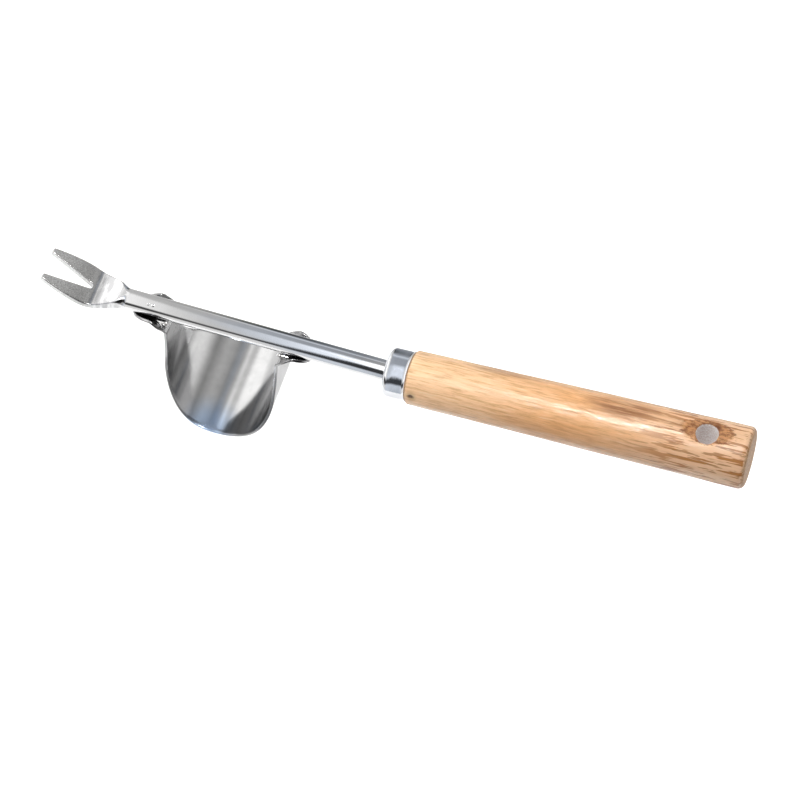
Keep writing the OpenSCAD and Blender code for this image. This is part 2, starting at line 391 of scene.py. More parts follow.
def satin_sheet():
    """Rolled stainless sheet with a fine lengthways grain, soft handling marks, and painted blue and dark
    reflections.
    """
    material, tree = shader("satin_sheet")
    at = bar_coords(tree)
    rolled = grain(tree, at, (900, 40, 900), 1.0, 5.0, 0.65)
    mottle = cloud_noise(tree, at, 230.0, 4.0, 0.6)
    smudge = cloud_noise(tree, at, 60.0, 2.0)
    rough = plus(tree, remap(tree, rolled, 0.3, 0.7, 0.10, 0.15),
                 remap(tree, smudge, 0.4, 0.7, 0.0, 0.04))
    color = mix_color(tree, mottle, (0.46, 0.46, 0.465), (0.61, 0.61, 0.615))
    # Painted reflection: a blue patch at the bottom of the loop.
    painted_blue_reflection = spot(tree, at, (MOUTH_X - LOOP_AT - 3, -21, -LOOP_DEPTH), (15, 17, 9))

    # Painted dark reflections: duller colour along a slanting edge on the handle's side, and up the leg on
    # the fork's side.
    painted_dark_reflection_color = (0.16, 0.16, 0.165)
    slant = dot(tree, at, (1.0, -0.385, 0.0))
    slant_from = (MOUTH_X - LOOP_AT + 10.9) * MM
    painted_dark_reflection_on_slant = remap(tree, slant, slant_from - 0.0006, slant_from + 0.0022, 0.0, 0.5)
    along = add(tree, "SeparateXYZ", {0: at}).outputs[0]
    leg_from = (MOUTH_X - LOOP_AT - 17) * MM
    painted_dark_reflection_on_leg = remap(tree, along, leg_from, leg_from - 0.003, 0.0, 0.4)
    color = paint(tree, color, (painted_blue_reflection, (0.42, 0.52, 0.68)), (painted_dark_reflection_on_slant, painted_dark_reflection_color), (painted_dark_reflection_on_leg, painted_dark_reflection_color))

    round_loop = add(tree, "Tangent", direction_type="RADIAL", axis="Y").outputs[0]
    finish_metal(tree, color, rough, bump(tree, rolled, 0.12, 0.00002),
                 {"Anisotropic": 0.35, "Tangent": round_loop})
    return material


def weld_metal():
    """Bright bead with a darker, heat-tinted skin in patches."""
    material, tree = shader("weld_metal")
    at = bar_coords(tree)
    patches = cloud_noise(tree, at, 700.0)
    grit = cloud_noise(tree, at, 3000.0)
    color = mix_color(tree, remap(tree, patches, 0.4, 0.65), (0.80, 0.80, 0.80), (0.52, 0.50, 0.49))
    finish_metal(tree, color, remap(tree, patches, 0.3, 0.7, 0.14, 0.38), bump(tree, grit, 0.25, 0.00005))
    return material


def ferrule_steel():
    """Bright drawn ferrule with faint rings left by the press tool."""
    material, tree = shader("ferrule_steel")
    at = place_of(tree)
    rings = grain(tree, at, (2600, 30, 30), 1.0, 4.0, 0.6)
    smudge = cloud_noise(tree, at, 210.0, 2.0)
    rough = plus(tree, remap(tree, rings, 0.3, 0.7, 0.05, 0.09),
                 remap(tree, smudge, 0.4, 0.7, 0.0, 0.03))
    color = mix_color(tree, smudge, (0.66, 0.67, 0.70), (0.76, 0.77, 0.79))
    relief = bump(tree, smudge, 0.2, 0.0002, bump(tree, rings, 0.12, 0.00003))
    finish_metal(tree, color, rough, relief)
    return material


def pin_steel():
    """End of the cross pin, browned under the varnish."""
    material, tree = shader("pin_steel")
    rust = cloud_noise(tree, place_of(tree), 1800.0, 4.0)
    color = mix_color(tree, remap(tree, rust, 0.35, 0.65), (0.10, 0.06, 0.04), (0.26, 0.16, 0.09))
    finish_metal(tree, color, 0.6, bump(tree, rust, 0.5, 0.0001),
                 {"Metallic": 0.3, "Coat Weight": 0.15, "Coat Roughness": 0.2})
    return material


# ---------- wood
STAIN_SHIFT = 0.8                # the stain lies off the middle of the hole
PITH_Y, PITH_Z = -0.021, -0.034  # the middle of the tree lies outside the handle, in metres
RING_GAP = 0.0021                # between growth rings, in metres


def growth_rings(tree, at, y, z):
    """1 in the dark late wood: the rings are cut nearly along the grain, so they wander as bands."""
    wander = grain(tree, at, (9, 40, 40), detail=2.0)
    wobble = grain(tree, at, (40, 160, 160))
    from_y, from_z = plus(tree, y, -PITH_Y), plus(tree, z, -PITH_Z)
    pith = math_node(tree, "SQRT", plus(tree, times(tree, from_y, from_y), times(tree, from_z, from_z)))
    bent = plus(tree, pith, times(tree, wander, 0.010))
    bent = plus(tree, bent, times(tree, wobble, 0.0010))
    ring = math_node(tree, "FRACT", times(tree, bent, 1 / RING_GAP))
    return times(tree, remap(tree, ring, 0.45, 0.93), remap(tree, ring, 1.0, 0.93))


def plain_wood(tree, at, x, y, z, fibre):
    """The wood's own colour, with painted light making it paler near the ferrule and painted shade making
    it browner low on the side towards -Y.
    """
    cloud = grain(tree, at, (22, 60, 60))
    color = mix_color(tree, remap(tree, cloud, 0.3, 0.7), (0.88, 0.47, 0.21), (0.95, 0.60, 0.34))
    # Painted shade: browner low on the side towards -Y.
    low_side = dot(tree, at, (0.0, -0.88, -0.48))
    painted_low_side_shade = times(tree, remap(tree, low_side, 0.001, 0.0095, 0.0, 0.42),
                    remap(tree, x, -0.110, -0.060, 0.35, 1.0))
    return paint(tree, color,
                 # Painted light: paler towards the ferrule.
                 (remap(tree, x, -0.050, -0.105, 0.0, 0.6), (1.0, 0.68, 0.40)),
                 (times(tree, growth_rings(tree, at, y, z), 0.16), (0.60, 0.28, 0.09)),
                 (remap(tree, fibre, 0.47, 0.66, 0.0, 0.60), (0.55, 0.26, 0.09)),
                 (remap(tree, fibre, 0.47, 0.30, 0.0, 0.55), (0.98, 0.76, 0.50)),
                 (painted_low_side_shade, (0.50, 0.25, 0.11)))


def hole_surround(tree, at, x, y, color):
    """Round the hanging hole the wood is torn and stained, with a dark crescent of stain and painted shade
    at one side, and inside it is bare and grey.
    """
    radius = math_node(tree, "SQRT", plus(tree, times(tree, x, x), times(tree, y, y)))
    offset = vector_math(tree, "SUBTRACT", at, (0, STAIN_SHIFT * MM, 0))
    along = vector_math(tree, "MULTIPLY", offset, (0.50, 1.0, 0.0))
    torn = grain(tree, at, (420, 900, 900), 1.0, 4.0, 0.7)
    ragged = times(tree, math_node(tree, "SUBTRACT", torn, 0.5), 0.0040)
    stain = remap(tree, plus(tree, length(tree, along), ragged), 0.0055, 0.0046)
    stain_color = mix_color(tree, remap(tree, torn, 0.38, 0.60), (0.22, 0.065, 0.018), (0.60, 0.275, 0.10))
    # Stain with painted shade: a dark crescent at the far rim of the hole.
    stain_and_shade_crescent = times(tree, spot(tree, at, (2.9, 2.9, 11), (2.6, 3.4, 4)),
                     remap(tree, torn, 0.36, 0.52, 0.5, 1.0))
    bare = remap(tree, radius, 0.00430, 0.00405)
    speck = cloud_noise(tree, at, 1700.0, 3.0, 0.6)
    bare_color = mix_color(tree, remap(tree, speck, 0.38, 0.62), (0.78, 0.69, 0.66), (1.0, 0.98, 0.97))
    color = paint(tree, color, (times(tree, stain, 0.9), stain_color),
                  (stain_and_shade_crescent, (0.16, 0.045, 0.01)), (bare, bare_color))
    return color, stain, bare


def pin_surround(tree, at, color):
    """The varnish has pooled brown round each end of the cross pin."""
    for side in (-1, 1):
        end = (COLLAR_X + PIN_AT, side * FRONT_R * cos(PIN_TURN),
               side * FRONT_R * sin(PIN_TURN))
        pooled = times(tree, spot(tree, at, end, (3.2, 3.6, 3.6)), 0.45)
        color = paint(tree, color, (pooled, (0.45, 0.26, 0.10)),
                      (spot(tree, at, end, (1.9, 1.9, 1.3)), (0.16, 0.08, 0.04)))
    return color


def varnished_wood():
    """Straight-grained pale hardwood under clear gloss varnish."""
    material, tree = shader("varnished_wood")
    at = place_of(tree)
    x, y, z = add(tree, "SeparateXYZ", {0: at}).outputs
    fibre = grain(tree, at, (105, 1300, 1300), 1.0, 5.0, 0.65)
    streak = grain(tree, at, (48, 640, 640), rough=0.6)
    pores = grain(tree, at, (120, 1150, 1150), 1.0, 2.0, 0.5)
    color = plain_wood(tree, at, x, y, z, fibre)

    # The grain gets coarser and darker towards the butt.
    to_butt = remap(tree, x, -0.045, 0.0)
    coarse = times(tree, remap(tree, streak, 0.535, 0.585), times(tree, to_butt, 0.92))
    dashes = times(tree, remap(tree, pores, 0.58, 0.63), plus(tree, times(tree, to_butt, 0.60), 0.12))
    color = paint(tree, color, (times(tree, to_butt, 0.55), (0.92, 0.62, 0.40)),
                  (coarse, (0.44, 0.15, 0.03)), (dashes, (0.36, 0.12, 0.025)))

    # A brown patch on the top of the grip, and fainter ones towards the ferrule and the butt.
    ragged = remap(tree, streak, 0.38, 0.54, 0.40, 1.0)
    for centre, size, depth in (((-32, 2.4, 11), (19, 6.5, 6.5), 1.0), ((-78, 6, 9), (20, 4, 6), 0.45),
                                ((-8, 0, 11), (14, 4, 5), 0.35)):
        patch = times(tree, spot(tree, at, centre, size), ragged)
        color = mix_color(tree, times(tree, patch, depth), color, (0.32, 0.13, 0.05))

    color, stain, bare = hole_surround(tree, at, x, y, color)
    color = pin_surround(tree, at, color)

    # The end grain of the butt is darker and takes less varnish; part of its darkness is painted shade.
    on_butt = remap(tree, x, (BUTT_X - 1.2) * MM, (BUTT_X - 0.2) * MM)
    ends = grain(tree, at, (200, 1500, 1500), rough=0.6)
    end_grain_and_shade_color = mix_color(tree, remap(tree, ends, 0.35, 0.65), (0.30, 0.15, 0.06), (0.52, 0.30, 0.14))
    color = mix_color(tree, on_butt, color, end_grain_and_shade_color)

    gloss = times(tree, math_node(tree, "SUBTRACT", 1.0, bare), remap(tree, stain, 0.2, 0.9, 1.0, 0.35))
    gloss = times(tree, gloss, remap(tree, on_butt, 0.0, 1.0, 1.0, 0.15))
    worn = grain(tree, at, (75, 1000, 1000), rough=0.6)
    gloss = times(tree, gloss, remap(tree, worn, 0.44, 0.52, 0.30, 1.0))
    ripple = grain(tree, at, (170, 800, 800))
    relief = plus(tree, times(tree, fibre, 0.5), times(tree, dashes, -1.2))
    film = plus(tree, times(tree, ripple, 0.8), times(tree, relief, 0.35))
    finish_material(tree, add(tree, "BsdfPrincipled", {
        "Base Color": color, "Roughness": 0.55, "Specular IOR Level": 0.3,
        "Normal": bump(tree, relief, 0.5, 0.00008), "Coat Weight": gloss, "Coat Roughness": 0.07,
        "Coat IOR": 1.52, "Coat Normal": bump(tree, film, 1.0, 0.00034)}))
    return material


# ---------- shank
TOP_STEPS = (0.0, 0.3, 0.6, 0.85, 0.97, 1.0)
CORNER_STEPS = 6
WALL_STEPS = 10                  # points down the inner side of a tine
TOP_EDGE, LOW_EDGE = 0.42, 0.45  # rounding of the blade's edges


def fork_half(d):
    """Half-width of the fork at a distance from the round bar."""
    if d <= -NECK_EASE:
        return BAR_R
    if d < WIDEST:
        flare = hermite(BAR_R, FORK_HALF, NECK_FLARE * WIDEST, 0.0, max(d, 0.0) / WIDEST)
        ease = (min(d, NECK_EASE) + NECK_EASE) ** 2 / (4 * NECK_EASE) - max(min(d, NECK_EASE), 0.0)
        return flare + NECK_FLARE * ease
    span = FORK_LEN - WIDEST
    return hermite(FORK_HALF, tip_out, 0.0, -TIP_TAPER * span, (d - WIDEST) / span)


def fork_top(d):
    """Height of the top face over the middle of the forging."""
    return lerp(BAR_R, fork_half_t(d), smooth_step(-1.5, 12.0, d))


def fork_bottom(d):
    return -lerp(BAR_R, fork_half_t(d), smooth_step(-1.0, 10.5, d))


def fork_half_t(d):
    return lerp(FORK_T, TIP_T, smooth_step(WIDEST - 3, FORK_LEN, d)) / 2


def notch_half(d):
    """Half-width of the notch; 0 before its root."""
    from_root = d - NOTCH_START
    if from_root <= 0:
        return 0.0
    if from_root < NOTCH_R * (1 - sin(NOTCH_ANGLE)):
        return sqrt(max(NOTCH_R ** 2 - (NOTCH_R - from_root) ** 2, 0.0))
    straight = from_root - NOTCH_R * (1 - sin(NOTCH_ANGLE))
    return NOTCH_R * cos(NOTCH_ANGLE) + straight * tan(NOTCH_ANGLE)


tip_out = notch_half(FORK_LEN) + TIP_W


def on_spine(d, y, h):
    """A point of the fork: distance along it, across it, and above its middle."""
    bend_end = BEND_START + BEND_R * sin(BEND)
    rise_end = BEND_R * (1 - cos(BEND))
    if d <= BEND_START:
        turn, rise = 0.0, 0.0
    elif d <= bend_end:
        turn = asin((d - BEND_START) / BEND_R)
        rise = BEND_R * (1 - cos(turn))
    else:
        turn, rise = BEND, rise_end + (d - bend_end) * tan(BEND)
    return (-BAR_LEN - d + h * sin(turn), y, rise + h * cos(turn))


def half_section(inner, outer, top, bottom, edges):
    """(across, height) from the top inner point round the outside to the bottom inner point."""
    top_edge, low_edge = edges
    flat = [(lerp(inner, outer - top_edge, f), top) for f in TOP_STEPS]
    flat += arc((outer - top_edge, top - top_edge), top_edge, 90, 0, CORNER_STEPS)[1:]
    high, low = top - top_edge, bottom + low_edge
    flat += [(outer, lerp(high, low, f)) for f in (0.33, 0.67)]
    flat += arc((outer - low_edge, low), low_edge, 0, -90, CORNER_STEPS)
    return flat + [(lerp(inner, outer - low_edge, f), bottom) for f in reversed(TOP_STEPS[:-1])]


def outline_reach(angle, outer, top, bottom, edges):
    """Distance from the spine to a rounded box, at an angle above level."""
    edge = edges[0] if angle > 0 else edges[1]
    middle, tall = (top + bottom) / 2, (top - bottom) / 2
    near, far = 0.0, outer + tall * 2
    for _ in range(40):
        reach = (near + far) / 2
        out_y = reach * cos(angle) - (outer - edge)
        out_z = abs(reach * sin(angle) - middle) - (tall - edge)
        if hypot(max(out_y, 0), max(out_z, 0)) + min(max(out_y, out_z), 0) > edge:
            far = reach
        else:
            near = reach
    return near


def neck_section(d):
    """Half-section of the neck, whose points slide from even spacing to that of the flat blade."""
    top, bottom, outer = fork_top(d), fork_bottom(d), fork_half(d)
    tall = (top - bottom) / 2
    edges = (lerp(tall, TOP_EDGE, smooth_step(-1.0, 4.0, d)),
             lerp(tall, LOW_EDGE, smooth_step(1.0, 10.0, d)))
    own = [atan2(h, y) for y, h in half_section(0, outer, top, bottom, edges)]
    spacing = smooth_step(-2.8, 1.2, d)
    points = []
    for i, angle in enumerate(own):
        angle = lerp(pi * (0.5 - i / (len(own) - 1)), angle, spacing)
        reach = outline_reach(angle, outer, top, bottom, edges)
        points.append((max(reach * cos(angle), 0.0), reach * sin(angle)))
    return points


def whole_section(half):
    """A full ring from one half: down the +Y side and up the -Y side."""
    mirrored = [(-y, h) for y, h in reversed(half[1:-1])]
    return half + mirrored


def inner_wall(inner, top, bottom, edge):
    """The notch side of a tine, from its bottom edge up to its top edge."""
    side = arc((inner + edge, bottom + edge), edge, 270, 180, 4)[1:]
    side += [(inner, lerp(bottom + edge, top - edge, f)) for f in (0.33, 0.67)]
    side += arc((inner + edge, top - edge), edge, 180, 90, 4)[:-1]
    return side


def tang_rings(count, verts):
    """Rings from the tang's blunt point, over the step behind the ferrule, along the round bar."""
    sections = [(TANG_LEN, 0.6), (TANG_LEN - 0.4, 1.0), (TANG_LEN - TANG_POINT, TANG_R)]
    sections += [(x, TANG_R) for x in (40, 20, FERRULE_WALL + 0.3)]
    sections += [(FERRULE_WALL, TANG_R + 0.25), (FERRULE_WALL, BAR_R - 0.3), (FERRULE_WALL - 0.3, BAR_R)]
    sections += [(-(BAR_LEN - 3) * i / 40, BAR_R) for i in range(41)]
    return [add_ring([(x, y, z) for y, z in whole_section(arc((0, 0), r, 90, -90, count - 1))], verts)
            for x, r in sections]


def tine_stations():
    """Distances of a tine's sections, closer together round the root of the notch."""
    stations = [NOTCH_START + NOTCH_R * (1 - cos(radians(a))) for a in (18, 34, 48, 62)]
    straight_start = NOTCH_START + NOTCH_R * (1 - sin(NOTCH_ANGLE))
    return stations + [lerp(straight_start, FORK_LEN - TIP_ROUND, i / 16) for i in range(17)]


def tine_ring(d, side, width, height, inner_edge, edges, verts):
    """A closed section of a tine: its outer half, then the wall of the notch."""
    inner, outer = width
    top, bottom = height
    half = half_section(inner + inner_edge, outer, top, bottom, edges)
    wall = inner_wall(inner, top, bottom, inner_edge)
    return add_ring([on_spine(d, side * y, h) for y, h in half + wall], verts)


def build_tine(side, root, verts, faces):
    rings = [root]
    for d in tine_stations():
        inner_edge = 0.28 * smooth_step(NOTCH_START, NOTCH_START + 1.5, d) + 0.02
        rings.append(tine_ring(d, side, (notch_half(d), fork_half(d)), (fork_top(d), fork_bottom(d)),
                               inner_edge, (TOP_EDGE, LOW_EDGE), verts))
    # The tip is rounded over three small steps.
    tip_in = notch_half(FORK_LEN)
    for angle in (30, 55, 78):
        shrink = TIP_SHRINK * (1 - cos(radians(angle)))
        d = FORK_LEN - TIP_ROUND + TIP_ROUND * sin(radians(angle))
        rings.append(tine_ring(d, side, (tip_in + shrink, tip_out - shrink),
                               (fork_top(FORK_LEN) - shrink, fork_bottom(FORK_LEN) + shrink),
                               0.2, (0.3, 0.3), verts))
    tine_faces = []
    skin(rings, tine_faces)
    add_fan(rings[-1], on_spine(FORK_LEN, side * (tip_in + tip_out) / 2, 0), verts, tine_faces)
    faces.extend(tine_faces if side > 0 else [f[::-1] for f in tine_faces])


def build_shank(material):
    verts, faces = [], []
    half_count = len(half_section(0, 8, 1, -1, (0.4, 0.4)))
    rings = tang_rings(half_count, verts)
    for d in np.linspace(-NECK_EASE - 1.0, NOTCH_START, 40):
        ring = whole_section(neck_section(d))
        rings.append(add_ring([on_spine(d, y, h) for y, h in ring], verts))
    skin(rings, faces)
    add_fan(rings[0], (TANG_LEN + 0.1, 0, 0), verts, faces, flip=True)

    # The notch root is one upright line, shared by the two tines.
    root = rings[-1]
    top, bottom = fork_top(NOTCH_START), fork_bottom(NOTCH_START)
    line = add_ring([on_spine(NOTCH_START, 0, lerp(bottom, top, (i + 1) / (WALL_STEPS + 1)))
                     for i in range(WALL_STEPS)], verts)
    right = root[:half_count]
    left = [root[0]] + root[half_count:][::-1] + [root[half_count - 1]]
    build_tine(1, right + line, verts, faces)
    build_tine(-1, left + line, verts, faces)
    make_piece("forked_shank", verts, faces, "shank", material, BAR_FRAME)


# ---------- fulcrum
ARC_STEPS = 30
TAB_Z = -BAR_R - SHEET_T / 2   # middle of the tab sheet under the bar
FOOT_Z = -LOOP_DEPTH + LOOP_R  # centre of the round bottom


def sheet_half(x, z):
    """Half-width of the sheet below its tabs: a broad round foot on a narrow strap."""
    rise = LOOP_R - x * sin(FOOT_TURN) + (z - FOOT_Z) * cos(FOOT_TURN)
    return LEG_W / 2 + (LOOP_W - LEG_W) / 2 * exp(-(rise / FOOT_RISE) ** 2)


def strip_side(side):
    """Stations from the bottom to a tab's tip: (x, z, facing, half-width, dish)."""
    stations = []
    for i in range(ARC_STEPS + 1):
        a = radians(270 + 90 * i / ARC_STEPS)
        x, z = LOOP_R * cos(a), FOOT_Z + LOOP_R * sin(a)
        stations.append((x, z, (-cos(a), -sin(a))))
    leg_top = TAB_Z - TAB_BEND_R
    stations += [(LOOP_R, lerp(FOOT_Z, leg_top, i / 9), (-1, 0)) for i in range(1, 9)]
    for i in range(11):
        a = radians(180 - 9 * i)
        x, z = LOOP_R + TAB_BEND_R * (1 + cos(a)), leg_top + TAB_BEND_R * sin(a)
        stations.append((x, z, (cos(a), sin(a))))
    tab_len = REAR_TAB_LEN if side > 0 else FRONT_TAB_LEN
    spread = REAR_TAB_SPREAD if side > 0 else FRONT_TAB_SPREAD
    tip_start = asin(TAB_BEND_R / tab_len)
    for i in range(1, 19):
        a = lerp(tip_start, radians(87), i / 18)
        stations.append((LOOP_R + tab_len * sin(a), TAB_Z, (0, 1)))

    made = []
    for x, z, (nx, nz) in stations:
        past = min(max((x - LOOP_R) / tab_len, 0.0), 1.0)
        leaf = sqrt(1 - past ** 2)
        dish = smooth_step(0.2, 6.5, x - LOOP_R)
        half = sheet_half(side * x, z) * leaf * (1 + spread * dish)
        made.append((side * x, z, (side * nx, nz), half, dish))
    return made


def sheet_outline(half, across=28):
    """(across, out of the sheet) round the strap's flat section, with its edges rounded."""
    half_t = SHEET_T / 2
    round_r = min(SHEET_EDGE, half * 0.5)
    flat = half - round_r
    up = [(flat * (2 * i / across - 1), half_t) for i in range(across + 1)]
    far = arc((flat, half_t - round_r), round_r, 90, 0, 4)[1:]
    far += arc((flat, round_r - half_t), round_r, 0, -90, 4)
    down = [(-y, -h) for y, h in up][1:]
    near = [(-y, -h) for y, h in far][:-1]
    return up + far + down + near


def build_fulcrum(material):
    stations = strip_side(-1)[::-1] + strip_side(1)[1:]
    verts, faces, rings = [], [], []
    for x, z, (nx, nz), half, dish in stations:
        ring = []
        bend = dish / TAB_DISH_R
        shift = REAR_TAB_SHIFT * dish if x > 0 else 0.0
        for y, h in sheet_outline(half):
            if bend > 1e-6:
                y, h = (1 / bend - h) * sin(bend * y), 1 / bend - (1 / bend - h) * cos(bend * y)
            ring.append((x + nx * h, y + shift, z + nz * h))
        rings.append(add_ring(ring, verts))
    skin(rings, faces)
    for ring, flip in ((rings[0], True), (rings[-1], False)):
        points = [Vector(verts[i]) for i in ring]
        add_fan(ring, sum(points, Vector()) / len(points), verts, faces, flip)
    make_piece("fulcrum_strap", verts, faces, "fulcrum", material, LOOP_FRAME, 50)


# ---------- welds
BEAD_START, BEAD_LEN = 20.9, 7.4  # along the bar, from the middle of the fulcrum
BEAD_Y, BEAD_Z = 3.9, -3.62       # the middle of a bead, off the bar's axis
BEAD_R = 0.70


def bead(end, side, verts, faces):
    """One fillet bead: a fat start at the bend of the tab, and a thin tail along the bar."""
    blob = 1.6 if end < 0 else 0.5
    steps, around = 44, 24
    rings = []
    phase = 1.7 * side + 0.9 * end
    for i in range(1, steps):
        u = i / steps
        fat = 1.0 + blob * exp(-((u - 0.19) / 0.12) ** 2)
        tail = lerp(1.0, 0.62, smooth_step(0.3, 0.9, u))
        ripple = 1 + 0.015 * sin(11 * pi * u + phase)
        r = BEAD_R * fat * tail * ripple * sin(pi * u) ** 0.45
        x = BEAD_START + BEAD_LEN * u
        y = BEAD_Y + 0.10 * sin(9 * u + phase)
        z = BEAD_Z + 0.08 * cos(7 * u + phase)
        ring = []
        for a in circle(around):
            lump = 1 + 0.02 * sin(3 * a + 6 * u + phase)
            ring.append((end * x, side * (y + r * lump * cos(a)), z + r * lump * sin(a)))
        rings.append(add_ring(ring, verts))
    new_faces = []
    skin(rings, new_faces)
    add_fan(rings[0], (end * (BEAD_START + 0.02), side * BEAD_Y, BEAD_Z), verts, new_faces, flip=True)
    add_fan(rings[-1], (end * (BEAD_START + BEAD_LEN), side * BEAD_Y, BEAD_Z), verts, new_faces)
    faces.extend([f[::-1] for f in new_faces] if end * side > 0 else new_faces)


def build_weld(name, node, end, material):
    verts, faces = [], []
    for side in (-1, 1):
        bead(end, side, verts, faces)
    make_piece(name, verts, faces, node, material, LOOP_FRAME, 60)


# ---------- ferrule
def build_ferrule(material):
    """Drawn cup: a pierced front, a round front edge and a rolled lip at the rear."""
    inner_r = FERRULE_R - FERRULE_WALL
    inner_edge = FERRULE_EDGE - FERRULE_WALL
    pierce = BAR_R + 0.3
    front = MOUTH_X
    profile = [(front + 0.55, pierce), (front + 0.3, pierce + 0.08), (front + 0.12, pierce + 0.3)]
    profile += [(front + 0.02, pierce + 1.0), (front, FERRULE_R - FERRULE_EDGE - 0.4)]
    profile += arc((front + FERRULE_EDGE, FERRULE_R - FERRULE_EDGE), FERRULE_EDGE, 180, 90, 12)
    lip_x = COLLAR_X - 0.25
    profile += [(lerp(front + FERRULE_EDGE, lip_x - 1.0, f), FERRULE_R) for f in (0.3, 0.6, 0.9, 1.0)]
    profile += [(lip_x - 0.28, FERRULE_R + 0.02), (lip_x - 0.16, FERRULE_R + 0.12)]
    profile += [(lip_x, FERRULE_R + LIP), (lip_x + 0.16, FERRULE_R + 0.14), (lip_x + 0.23, FERRULE_R - 0.1)]
    profile += [(lip_x + 0.24, inner_r + 0.15), (lip_x + 0.18, inner_r)]
    profile += [(lerp(lip_x, front + FERRULE_EDGE, f), inner_r) for f in (0.5, 1.0)]
    centre = (front + FERRULE_WALL + inner_edge, inner_r - inner_edge)
    profile += arc(centre, inner_edge, 90, 180, 5)[1:]
    profile += [(front + FERRULE_WALL, pierce + 0.2)]
    verts, faces = lathe_ring(profile, 144)
    make_piece("ferrule_cup", verts, faces, "ferrule", material, sharp=50)


# ---------- handle
TURNS = 144              # points round the handle
PATCH_HALF = 8.0         # the hole's patch runs this far each way along the handle
PATCH_COLUMNS = 24
PATCH_TURN = TURNS // 8  # and this many points each way round it


def wood_r(x):
    """Radius of the turned wood, with a slight hand-sanded waviness."""
    wave = 0.05 * sin(0.11 * x + 0.6) + 0.03 * sin(0.29 * x)
    return lerp(FRONT_R, BUTT_R, (x - COLLAR_X) / (BUTT_X - COLLAR_X)) + wave * 0.5


def turned_point(x, r, k):
    """Point k round the handle; 0 is on -Z, so that both hole patches fall inside the count."""
    a = 2 * pi * k / TURNS - pi / 2
    if x > COLLAR_X + 1.0:
        r -= pin_dimple(x, a)
    return (x, r * cos(a), r * sin(a))


def pin_dimple(x, a):
    """Depth of the small hollow where the varnish runs down over each end of the pin."""
    depth = 0.0
    for pin_angle in (PIN_TURN, PIN_TURN + pi):
        round_way = remainder(a - pin_angle, 2 * pi) * FRONT_R
        away = hypot(x - COLLAR_X - PIN_AT, round_way)
        depth += 0.35 * exp(-(away / 1.05) ** 4)
    return depth


def hole_edge(angle, seed):
    """How far the torn mouth of the hole reaches: further along the grain than across it."""
    along_grain = abs(cos(angle)) ** 3
    rag = noise.noise(Vector((3.1 * cos(angle), 3.1 * sin(angle), seed)))
    fine = noise.noise(Vector((9.0 * cos(angle), 9.0 * sin(angle), seed + 5)))
    return HOLE_R + 0.45 + 0.55 * along_grain * (1 + rag) + 0.20 * rag + 0.14 * fine


def torn_depth(x, y, side):
    """Depth of the wood torn out beside the hole, further along the grain than across it."""
    reach = hypot(0.56 * x, y)
    rag = noise.noise(Vector((0.9 * x, 2.2 * y, 3.0 * side)))
    fine = noise.noise(Vector((2.0 * x, 6.0 * y, 9.0 * side)))
    return smooth_step(5.4, 3.9, reach + 0.9 * rag) * (0.34 + 0.20 * fine)


def patch_rings(edge_ids, side, verts):
    """Rings of vertices from the square edge of a patch in to the wall of the hole."""
    edge = [verts[i] for i in edge_ids]
    angles = [atan2(p[1], p[0]) for p in edge]
    rings = [edge_ids]

    def surface(x, y):
        return side * sqrt(wood_r(x) ** 2 - y ** 2)

    mouths = [hole_edge(a, 2.0 + side) for a in angles]
    for step in range(1, 15):
        u = 1 - (1 - step / 14) ** 1.25
        ring = []
        for p, a, mouth in zip(edge, angles, mouths):
            x, y = lerp(p[0], mouth * cos(a), u), lerp(p[1], mouth * sin(a), u)
            sink = torn_depth(x, y, side) * smooth_step(0.0, 0.3, u)
            ring.append((x, y, surface(x, y) - side * sink))
        rings.append(add_ring(ring, verts))
    for u in (0.25, 0.5, 0.75, 1.0):
        ring = []
        for a, mouth in zip(angles, mouths):
            r = lerp(mouth, HOLE_R, u)
            x, y = r * cos(a), r * sin(a)
            rag = noise.noise(Vector((2.2 * x, 4.0 * y, 7.0 * side + u)))
            sink = torn_depth(x, y, side) + 0.75 * u ** 1.3 + 0.22 * rag * sin(pi * u)
            ring.append((x, y, surface(x, y) - side * sink))
        rings.append(add_ring(ring, verts))
    return rings


def bore_rings(verts):
    """Rings of the tang's bore, which follows the bar, so they lean by the rake."""
    rings = []
    for x in (BORE_END, 40.0, 20.0, 1.2):
        rings.append(add_ring([BAR_FRAME @ Vector((x, BORE_R * cos(a), BORE_R * sin(a)))
                               for a in circle(TURNS, -pi / 2)], verts))
    return rings


